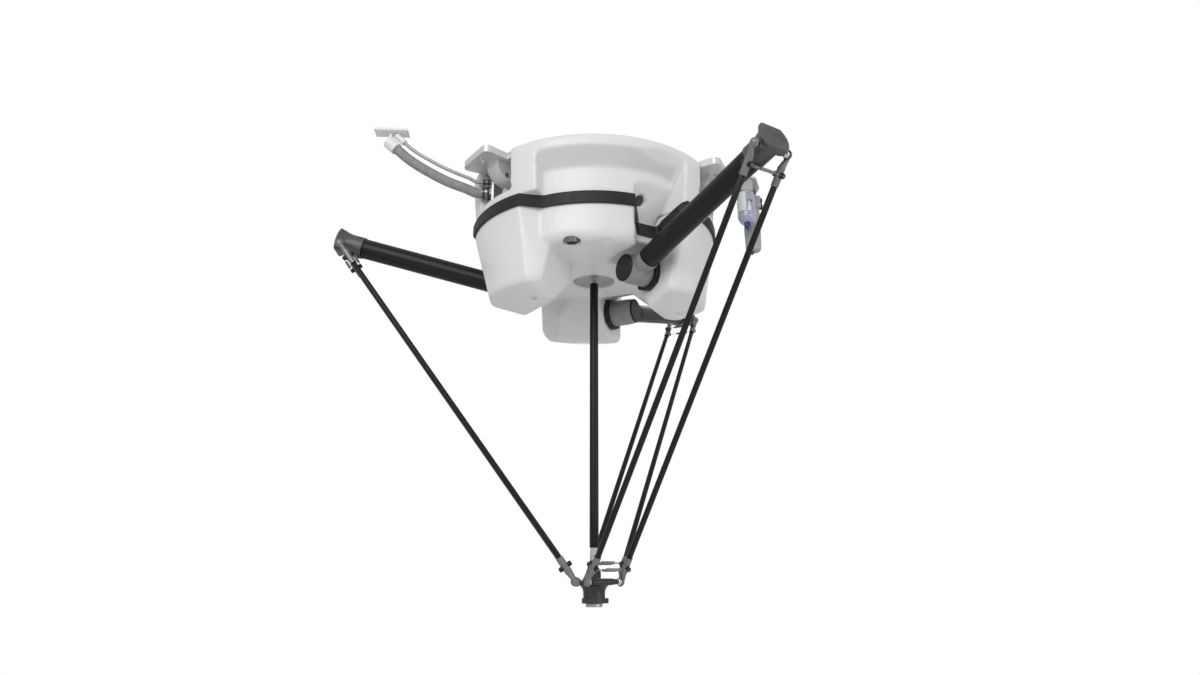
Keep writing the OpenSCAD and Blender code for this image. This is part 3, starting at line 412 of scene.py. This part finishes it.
# ---- mounting frame, connector plate and bracket ----
# The frame is a ground stainless plate with three lugs that bolt to the ceiling. The connector
# plate and the bracket for the air units are bent from the same brushed sheet.
brushed = finish("brushed_steel", (0.66, 0.66, 0.655), 0.34, metallic=0.45)
shaded(brushed, speckle(brushed, 0.0012, 3, (1, 0.04, 1)), (0.60, 0.60, 0.595), (0.72, 0.72, 0.715))
rubbed(brushed, speckle(brushed, 0.0009, 3, (1, 0.03, 1)), 0.24, 0.46)
relief(brushed, speckle(brushed, 0.0006, 2, (1, 0.03, 1)), 0.00005)
softened("mounting_plate", "mounting_frame", "base", brushed, edge=0.0015)
softened("gland_plate", "connector_plate", "base", brushed, edge=0.0006)
softened("air_unit_bracket", "air_bracket", "base", brushed, edge=0.0008)
softened("wall_sockets", "service_sockets", "base", brushed, edge=0.0006)
gland_y = conduit_route[0, 1]
plate_face = -0.204
screw_aside = 0.0118
screw_heights = (-0.0815, -0.0185)
plate_screws = [placed(socket_screw(0.003),
                       spun(plate_face, gland_y + s * screw_aside, z, "Y", -math.pi / 2))
                for s in (-1, 1) for z in screw_heights]
piece("plate_screws", plate_screws, "base", screw_steel)

# ---- glands and ceiling clamp ----
# Nickel-plated glands with two dark rings each are screwed into the plate and grip the
# conduit and the hose. The clamp of the ceiling tray holds their other ends in white sleeves.
softened("cord_glands", "cable_glands", "base", plated, edge=0.0005)


def gland_ring(r, width):
    """Turned ring of radius r and the given width, its two rims drawn in."""
    return turned([(r - 0.0006, 0), (r, 0.0005), (r, width - 0.0005), (r - 0.0006, width)], 40)


gland_rings = [placed(gland_ring(cord_r + proud, width),
                      spun(-x, gland_y, z, "Y", -math.pi / 2))
               for z, cord_r in ((conduit_route[0, 2], conduit_d / 2), (hose_route[0, 2], hose_d / 2))
               for x, proud, width in ((0.2092, 0.0025, 0.0034), (0.2185, 0.0021, 0.0030))]
piece("gland_rings", gland_rings, "base", screw_steel)
clamp_white = finish("clamp_white", (0.74, 0.74, 0.735), 0.42)
rubbed(clamp_white, speckle(clamp_white, 0.004), 0.36, 0.52)
relief(clamp_white, speckle(clamp_white, 0.001, 2), 0.00008, 0.5)
clamp.data.materials.clear()
clamp.data.materials.append(clamp_white)

# ---- drives ----
# Each pod holds a steel planetary gearbox and a black motor behind it, and the spindle's own
# motor stands in the middle. A bored grey plate in the pool round the spindle's bearing is
# painted shade: it darkens the pool the way its shadowed inside looks. Four screws hold each black
# seal collar round its drive shaft.
machined = finish("drive_metal", (0.22, 0.22, 0.225), 0.35, metallic=0.9)
rubbed(machined, speckle(machined, 0.0015, 3, (0.05, 1, 1)), 0.25, 0.5)
motor_black = finish("motor_black", (0.035, 0.035, 0.038), 0.5)
rubbed(motor_black, speckle(motor_black, 0.002), 0.42, 0.6)
relief(motor_black, speckle(motor_black, 0.0012), 0.00008)
black_cap = finish("black_cap", (0.012, 0.012, 0.0125), 0.48, specular=0.3)
rubbed(black_cap, speckle(black_cap, 0.004), 0.32, 0.46)
relief(black_cap, speckle(black_cap, 0.0007), 0.00004)
bearing_steel = finish("bearing_steel", (0.40, 0.40, 0.39), 0.38, metallic=0.5)
rubbed(bearing_steel, speckle(bearing_steel, 0.0015), 0.3, 0.48)
for i in (1, 2, 3):
    softened(f"planetary_drive_{i}", f"gearbox_{i}", "base", machined, edge=0.0006)
    softened(f"arm_motor_{i}", f"motor_{i}", "base", motor_black, edge=0.0008)
    softened(f"arm_collar_{i}", f"seal_collar_{i}", "base", black_cap, edge=0.0006)
softened("spin_motor", "spindle_motor", "base", motor_black, edge=0.0008)
softened("pool_bearing", "spindle_bearing", "base", bearing_steel, edge=0.0006)
# The plate is painted shade: a dull grey disc that stands for the shadow inside the pool.
plate_low = -0.1985
pool_shade_plate = bored([(0.0043, 0.0022), (0.0378, 0.0014), (0.0390, 0.0018), (0.0390, 0.0028),
                    (0.0043, 0.0032)], 64)
piece("pool_shade_plate", [placed(pool_shade_plate, Matrix.Translation((0, 0, plate_low)))],
      "base", bearing_steel)
pivot_r = 0.1445
screw_circle = 0.031
collar_face = 0.024
flat_screw = turned([(0.0028, 0), (0.0028, 0.0008), (0.0022, 0.0012), (0.0013, 0.0012),
                     (0.0012, 0.0002)], 24, (4,))
collar_screws = [
    placed(flat_screw, at_arm(i) @ spun(pivot_r, 0, 0, "Y", math.pi / 4 + k * math.pi / 2)
           @ Matrix.Translation((screw_circle, collar_face, 0))
           @ Matrix.Rotation(math.pi / 2, 4, "X"))
    for i in range(3) for k in range(4)]
piece("collar_screws", collar_screws, "base", screw_steel)

# ---- upper arms ----
# A tube of carbon twill, clear coated, is bonded at one end into the cast hub and at the
# other into the elbow casting. The hub's open end is closed by a black cap.
arm_len = 0.372
arm_rest = math.radians(12.8)
ball_drop = 0.0134
tilt = arm_rest + math.asin(ball_drop / arm_len)
ball_x = math.sqrt(arm_len ** 2 - ball_drop ** 2)
arm_tube_r = 0.020
tube_start = 0.028
tube_end = ball_x - 0.018
tow = 0.0024
carbon = finish("carbon_twill", (0.007, 0.007, 0.0074), 0.38, coat=0.06, specular=0.24)
cast_grey = finish("cast_grey", (0.095, 0.095, 0.097), 0.44, metallic=0.4)
shaded(cast_grey, speckle(cast_grey, 0.02), (0.08, 0.08, 0.082), (0.112, 0.112, 0.115))
rubbed(cast_grey, speckle(cast_grey, 0.003), 0.36, 0.52)
relief(cast_grey, speckle(cast_grey, 0.0009), 0.00007)
hub_grey = finish("hub_grey", (0.25, 0.25, 0.247), 0.4, metallic=0.25)
shaded(hub_grey, speckle(hub_grey, 0.02), (0.225, 0.225, 0.222), (0.28, 0.28, 0.277))
rubbed(hub_grey, speckle(hub_grey, 0.003), 0.34, 0.5)
relief(hub_grey, speckle(hub_grey, 0.0009), 0.00007)


def woven(made, width):
    """Two-by-two twill on a piece's UV map, which counts metres along and round it: a cell is
    on top where the sum of its column and row, counted by fours, is 0 or 1."""
    links = made.node_tree.links
    uv = node(made, "ShaderNodeTexCoord")
    split = node(made, "ShaderNodeSeparateXYZ")
    links.new(uv.outputs["UV"], split.inputs[0])

    def sum_up(operation, first, second):
        step = node(made, "ShaderNodeMath", operation=operation)
        for k, value in enumerate((first, second)):
            if isinstance(value, (int, float)):
                step.inputs[k].default_value = value
            elif value is not None:
                links.new(value, step.inputs[k])
        return step.outputs[0]

    column = sum_up("FLOOR", sum_up("DIVIDE", split.outputs["X"], width), None)
    row = sum_up("FLOOR", sum_up("DIVIDE", split.outputs["Y"], width), None)
    turn = sum_up("FLOORED_MODULO", sum_up("ADD", column, row), 4)
    return sum_up("LESS_THAN", turn, 1.5)


weave = woven(carbon, tow)
shaded(carbon, weave, (0.006, 0.006, 0.0064), (0.0095, 0.0095, 0.0099))
rubbed(carbon, weave, 0.33, 0.42)


def carbon_tube(name, place, start, end, r, body, source):
    """Tube along a place's +X from start to end: rings of radius r at even steps, drawn in by
    a rim at both ends and closed there, with a UV map in metres along and round it."""
    sides, rows, rim, dish = 72, 9, 0.0006, 0.0001
    along = np.linspace(start, end, rows)
    inset = np.concatenate([[start, start + rim], along[1:-1], [end - rim, end]])
    reach = np.full(len(inset), r)
    reach[[0, -1]] -= rim
    turn = np.linspace(0, 2 * math.pi, sides + 1)
    x = np.broadcast_to(inset[:, None], (len(inset), sides + 1))
    points = np.stack([x, reach[:, None] * np.cos(turn), reach[:, None] * np.sin(turn)], -1)
    flat = points.reshape(-1, 3)
    uv = np.stack([x, np.broadcast_to(turn * r, x.shape)], -1).reshape(-1, 2)
    quads = np.array(grid_faces(len(inset), sides + 1, False))[:, ::-1]
    base = len(flat)
    mesh = bpy.data.meshes.new(name)
    place = np.array(place)
    ends = np.array([[start + dish, 0, 0], [end - dish, 0, 0]])
    all_points = np.vstack([flat, ends]) @ place[:3, :3].T + place[:3, 3]
    step = np.arange(sides)
    last = base - sides - 1
    first = np.stack([step, step + 1, np.full(sides, base)], -1)
    final = np.stack([last + step + 1, last + step, np.full(sides, base + 1)], -1)
    mesh.from_pydata(all_points.tolist(), [], quads.tolist() + first.tolist() + final.tolist())
    layer = mesh.uv_layers.new(name="UVMap")
    corners = np.empty(len(mesh.loops), int)
    mesh.loops.foreach_get("vertex_index", corners)
    layer.data.foreach_set("uv", np.vstack([uv, [[0, 0], [0, 0]]])[corners].ravel())
    mesh.shade_smooth()
    mesh.set_sharp_from_angle(angle=math.radians(50))
    mesh.materials.append(carbon)
    made = bpy.data.objects.new(name, mesh)
    bpy.context.scene.collection.objects.link(made)
    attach(made, body)
    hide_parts(source)


def in_arm(i):
    """Frame of an upper arm at its pivot, with +X along the tube."""
    return at_arm(i) @ spun(pivot_r, 0, 0, "Y", -tilt)


for i in range(3):
    body = f"arm_{i + 1}"
    carbon_tube(f"upper_arm_{i + 1}", in_arm(i), tube_start, tube_end, arm_tube_r, body,
                f"arm_tube_{i + 1}")
    softened(f"arm_hub_{i + 1}", f"hub_{i + 1}", body, hub_grey, edge=0.0008)
    softened(f"end_cap_{i + 1}", f"hub_cap_{i + 1}", body, black_cap, edge=0.0004)
    softened(f"elbow_casting_{i + 1}", f"elbow_{i + 1}", body, cast_grey, edge=0.0007)

# ---- ball joints ----
# Each joint is a polished steel ball on a stud that is screwed into the elbow or the platform,
# and the springs pull the cup at the end of a forearm rod against it.
ball_steel = finish("ball_steel", (0.62, 0.62, 0.63), 0.16, metallic=1.0)
rubbed(ball_steel, speckle(ball_steel, 0.0012, 4, (1, 1, 0.2)), 0.1, 0.26)
for i in (1, 2, 3):
    softened(f"upper_balls_{i}", f"elbow_balls_{i}", f"arm_{i}", ball_steel, edge=0)
    softened(f"lower_balls_{i}", f"foot_balls_{i}", f"forearms_{i}", ball_steel, edge=0)

# ---- forearms ----
# Two thin carbon rods make each forearm, with machined ends bonded on whose cups sit on the
# balls. Tension springs, hooked on black anchors across each pair of ends, keep them closed.
rod_len = 0.800
rod_r = 0.0052
half_pair = 0.034
foot_r = 0.0338
spring_at = 0.033
spring_x = 0.01035
spring_r = 0.0028
spring_len = 0.028
wire_r = 0.0006
hook_r = 0.0027
elbow_x = pivot_r + arm_len * math.cos(arm_rest)
elbow_z = arm_len * math.sin(arm_rest)
rod_tilt = math.asin((elbow_x - foot_r) / rod_len)
rod_start = spring_at + 0.0051
rod_end_grey = finish("rod_end_grey", (0.21, 0.21, 0.212), 0.36, metallic=0.6)
rubbed(rod_end_grey, speckle(rod_end_grey, 0.001, 3, (1, 1, 0.1)), 0.28, 0.46)
spring_steel = finish("spring_steel", (0.30, 0.30, 0.305), 0.34, metallic=0.8)
rubbed(spring_steel, speckle(spring_steel, 0.001), 0.28, 0.5)


def in_forearm(i):
    """Frame of a forearm at its elbow, with the rods down -Z and the pair along Y."""
    return at_arm(i) @ spun(elbow_x, 0, elbow_z, "Y", rod_tilt)


def spring_line():
    """Wire of one tension spring, centred on Y: a loop round the anchor at one end, a close
    helix that climbs a little over one wire's thickness a turn, and the same loop at the other
    end."""
    pitch, steps = 2.1 * wire_r, 14
    coils = spring_len / pitch
    t = np.linspace(0, 1, int(coils * steps))
    r = spring_r - wire_r
    helix = np.stack([r * np.sin(2 * math.pi * coils * t), (t - 0.5) * spring_len,
                      r * np.cos(2 * math.pi * coils * t)], -1)
    a = np.linspace(math.radians(200), math.radians(-90), 16)
    loop = np.stack([np.zeros_like(a), half_pair + hook_r * np.cos(a), hook_r * np.sin(a)], -1)
    run = np.linspace((0, spring_len / 2 + 0.003, 0), (0, half_pair - hook_r - 0.001, 0), 4)
    far = np.vstack([run, loop])
    near = far[::-1] * (1, -1, 1)
    return np.vstack([near, helix, far])


one_spring = swept(spring_line(), wire_r, sides=6)
spring_anchor = turned([(0.0036, 0.0046), (0.0046, 0.0053), (0.0046, 0.0112), (0.0038, 0.0124),
                        (0.0012, 0.0128)], 24)
spring_heights = (-spring_at, -rod_len + spring_at)
for i in range(3):
    body = f"forearms_{i + 1}"
    for s, side in ((-1, "left"), (1, "right")):
        place = (in_forearm(i) @ Matrix.Translation((0, s * half_pair, 0))
                 @ Matrix.Rotation(math.pi / 2, 4, "Y"))
        carbon_tube(f"forearm_rod_{i + 1}_{side}", place, rod_start, rod_len - rod_start, rod_r,
                    body, f"rods_{i + 1}")
    softened(f"ball_cups_{i + 1}", f"rod_ends_{i + 1}", body, rod_end_grey,
             edge=0.0003, limit=40)
    coils = [placed(one_spring, in_forearm(i) @ Matrix.Translation((s * spring_x, 0, z)))
             for z in spring_heights for s in (-1, 1)]
    made = piece(f"tension_springs_{i + 1}", coils, body, spring_steel, sharp=60)
    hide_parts(f"springs_{i + 1}")
    anchors = [placed(spring_anchor, in_forearm(i) @ Matrix.Translation((0, t * half_pair, z))
                      @ Matrix.Rotation(s * math.pi / 2, 4, "Y"))
               for z in spring_heights for s in (-1, 1) for t in (-1, 1)]
    piece(f"spring_anchors_{i + 1}", anchors, body, black_cap)

# ---- spindle ----
# A telescopic drive turns the tool: a bright splined rod from the spindle motor slides in a
# black carbon tube, and a small universal joint ends it on the platform.
spin_tube_r = 0.0085
tube_top = 0.019 - pivot_drop
tube_len = 0.521
cap_height = 0.003
joint_grey = finish("joint_grey", (0.50, 0.50, 0.49), 0.42, metallic=0.2)
shaded(joint_grey, speckle(joint_grey, 0.004), (0.45, 0.45, 0.44), (0.56, 0.56, 0.55))
rubbed(joint_grey, speckle(joint_grey, 0.001), 0.36, 0.5)
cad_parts["spindle_rod"].data.materials.clear()
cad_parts["spindle_rod"].data.materials.append(ball_steel)
spindle_body = Matrix.Translation((0, 0, tube_top)) @ Matrix.Rotation(math.pi / 2, 4, "Y")
carbon_tube("spindle_shaft", spindle_body, cap_height, tube_len, spin_tube_r,
            "spindle_slide", "spindle_tube")
shaft_cap = turned([(spin_tube_r, 0), (spin_tube_r, 0.0005), (spin_tube_r - 0.0025, cap_height),
                    (0.0042, cap_height), (0.0039, 0.001)], 48)
piece("shaft_cap", [placed(shaft_cap, Matrix.Translation((0, 0, tube_top - cap_height)))],
      "spindle_slide", black_cap)
softened("cross_joint", "universal_joint", "spindle_slide", joint_grey, edge=0.0004)

# ---- platform and tool flange ----
# The platform is one small dark anodised casting with three pairs of ball horns. The bright
# tool flange turns under it on four screw holes.
anodised = finish("platform_dark", (0.05, 0.05, 0.053), 0.4, metallic=0.6)
shaded(anodised, speckle(anodised, 0.012), (0.04, 0.04, 0.043), (0.062, 0.062, 0.066))
rubbed(anodised, speckle(anodised, 0.002), 0.32, 0.5)
tool_metal = finish("tool_metal", (0.45, 0.45, 0.46), 0.3, metallic=0.95)
rubbed(tool_metal, speckle(tool_metal, 0.0008, 3, (1, 1, 0.08)), 0.22, 0.42)
softened("platform_casting", "platform", "platform", anodised, edge=0.0005)
softened("turning_flange", "tool_flange", "tool", tool_metal, edge=0.0005)

# ---- air filter and regulator ----
# A filter with a clear bowl in a lilac guard and a cast grey regulator are screwed side by
# side under the bracket. Blue valves drain them, and a black knob sets the pressure.
air_grey = finish("air_body_grey", (0.34, 0.35, 0.35), 0.45)
shaded(air_grey, speckle(air_grey, 0.015), (0.31, 0.32, 0.32), (0.38, 0.39, 0.39))
rubbed(air_grey, speckle(air_grey, 0.003), 0.38, 0.55)
bowl_pale = finish("bowl_pale", (0.70, 0.73, 0.78), 0.2, coat=0.3)
rubbed(bowl_pale, speckle(bowl_pale, 0.006), 0.14, 0.3)
guard_lilac = finish("guard_lilac", (0.62, 0.62, 0.80), 0.12, coat=0.4)
guard_lilac.node_tree.nodes["Principled BSDF"].inputs["Transmission Weight"].default_value = 0.55
rubbed(guard_lilac, speckle(guard_lilac, 0.008), 0.08, 0.2)
valve_blue = finish("valve_blue", (0.005, 0.03, 0.17), 0.3, coat=0.2)
rubbed(valve_blue, speckle(valve_blue, 0.003), 0.22, 0.4)


def block(low, high, edge):
    """Upright block between two corners: its outline is the rectangle drawn in by edge plus a
    circle of radius edge, and its top and bottom rims are drawn in by a quarter of edge."""
    low, high = np.array(low), np.array(high)
    n, rim = 40, edge / 4
    turn = (np.arange(n) + 0.5) * 2 * math.pi / n
    circle = np.stack([np.cos(turn), np.sin(turn)], -1)
    middle, half = (low + high)[:2] / 2, (high - low)[:2] / 2 - edge
    levels = ((low[2], rim), (low[2] + rim, 0), (high[2] - rim, 0), (high[2], rim))
    rows = [np.column_stack([middle + np.sign(circle) * half + circle * (edge - inset),
                             np.full(n, z)]) for z, inset in levels]
    return np.vstack(rows), grid_faces(4, n, True) + [list(range(n)), list(range(3 * n, 4 * n))]


filter_at = (0.298, -0.100)
regulator_at = (0.319, -0.057)
filter_head = block((0.282, -0.117, -0.044), (0.310, -0.084, -0.018), 0.004)
filter_neck = placed(turned([(0.0155, -0.0485), (0.0165, -0.0475), (0.0165, -0.043)], 48),
                     Matrix.Translation((*filter_at, 0)))
regulator_body = block((0.302, -0.073, -0.058), (0.336, -0.042, -0.032), 0.005)
regulator_bowl = placed(turned([(0.009, -0.150), (0.0135, -0.1485), (0.0155, -0.143), (0.0166, -0.100),
                                (0.0166, -0.064), (0.0152, -0.0625), (0.0152, -0.0575)], 48),
                        Matrix.Translation((*regulator_at, 0)))
valve_bodies = piece("valve_bodies", [filter_head, filter_neck, regulator_body, regulator_bowl],
                     "base", air_grey)
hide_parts("air_bodies")
side_knob = turned([(0.0055, 0), (0.0063, 0.001), (0.0063, 0.007), (0.0052, 0.0086),
                    (0.001, 0.0088)], 24)
knob_x, knob_y = 0.3325, -0.060
side_knobs = [placed(side_knob, spun(knob_x, knob_y, z, "Y", math.pi / 2))
              for z in (-0.0385, -0.0517)]
piece("side_knobs", side_knobs, "base", black_cap)
softened("clear_bowl", "filter_bowl", "base", bowl_pale, edge=0)
softened("lilac_guard", "bowl_guard", "base", guard_lilac, edge=0.0004)


def shell_strip(r, wall, start, end, low, high):
    """Upright strip of a round wall: at each angle from start to end four points, at the outer
    and inner radius at the bottom and then at the top, joined into a closed band."""
    n = 25
    turn = np.radians(np.linspace(start, end, n))[:, None]
    reach = np.array([r, r - wall, r - wall, r])
    height = np.broadcast_to((low, low, high, high), (n, 4))
    points = np.stack([reach * np.cos(turn), reach * np.sin(turn), height], -1)
    ends = [list(range(4)), list(range(4 * n - 4, 4 * n))]
    return points.reshape(-1, 3), grid_faces(n, 4, True) + ends


shield_grey = finish("shield_grey", (0.58, 0.60, 0.56), 0.4)
shaded(shield_grey, speckle(shield_grey, 0.01), (0.55, 0.57, 0.53), (0.62, 0.64, 0.60))
rubbed(shield_grey, speckle(shield_grey, 0.003), 0.34, 0.5)
bowl_shield = shell_strip(r=0.0192, wall=0.0016, start=-162, end=-106, low=-0.088, high=-0.046)
piece("bowl_shield", [placed(bowl_shield, Matrix.Translation((*filter_at, 0)))],
      "base", shield_grey)
softened("drains", "drain_valves", "base", valve_blue, edge=0.0003)
softened("pressure_knob", "regulator_knob", "knob", black_cap, edge=0.0006)

# ---- room ----
# A white room round the robot, with a pale floor well below it. Three soft square lamps
# light the castings from the front left, the right and behind.
floor_z = -1.6
floor_half = 30
floor_pale = finish("floor_pale", (0.8, 0.8, 0.8), 0.9)


def white_to_camera(tree, lit, bright, surface):
    """Lets a surface be lit as usual, but show as bright white where the camera sees it."""
    ray = tree.nodes.new("ShaderNodeLightPath")
    choice = tree.nodes.new("ShaderNodeMixShader")
    for value, socket in ((ray.outputs["Is Camera Ray"], 0), (lit, 1), (bright, 2)):
        tree.links.new(value, choice.inputs[socket])
    tree.links.new(choice.outputs[0], surface)


floor_corners = [(x * floor_half, y * floor_half, floor_z)
                 for x, y in ((-1, -1), (1, -1), (1, 1), (-1, 1))]
floor_mesh = bpy.data.meshes.new("floor")
floor_mesh.from_pydata(floor_corners, [], [(0, 1, 2, 3)])
floor = bpy.data.objects.new("floor", floor_mesh)
bpy.context.scene.collection.objects.link(floor)
floor_nodes = floor_pale.node_tree.nodes
white_to_camera(floor_pale.node_tree, floor_nodes["Principled BSDF"].outputs[0],
                node(floor_pale, "ShaderNodeEmission").outputs[0],
                floor_nodes["Material Output"].inputs["Surface"])
floor_mesh.materials.append(floor_pale)

world = bpy.data.worlds.new("room")
bpy.context.scene.world = world
world.use_nodes = True
sky = world.node_tree
ambient = sky.nodes["Background"]
ambient.inputs["Color"].default_value = (0.96, 0.97, 1.0, 1)
ambient.inputs["Strength"].default_value = 0.62
backdrop = sky.nodes.new("ShaderNodeBackground")
backdrop.inputs["Color"].default_value = (1, 1, 1, 1)
white_to_camera(sky, ambient.outputs[0], backdrop.outputs[0],
                sky.nodes["World Output"].inputs["Surface"])


def lamp(name, place, target, size, power):
    """A square soft lamp of size metres and power watts that faces a target."""
    light = bpy.data.lights.new(name, "AREA")
    light.shape = "SQUARE"
    light.size = size
    light.energy = power
    made = bpy.data.objects.new(name, light)
    made.location = place
    made.rotation_euler = (Vector(target) - Vector(place)).to_track_quat("-Z", "Y").to_euler()
    bpy.context.scene.collection.objects.link(made)


lamp("key_lamp", place=(-1.2, -2.6, 0.9), target=(0, 0, -0.15), size=1.8, power=38)
lamp("fill_lamp", place=(2.2, -1.8, -0.2), target=(0, 0, -0.3), size=2.0, power=16)
lamp("rim_lamp", place=(0.6, 2.4, 0.8), target=(0, 0, -0.2), size=1.6, power=14)

bpy.context.scene.view_settings.view_transform = "Standard"
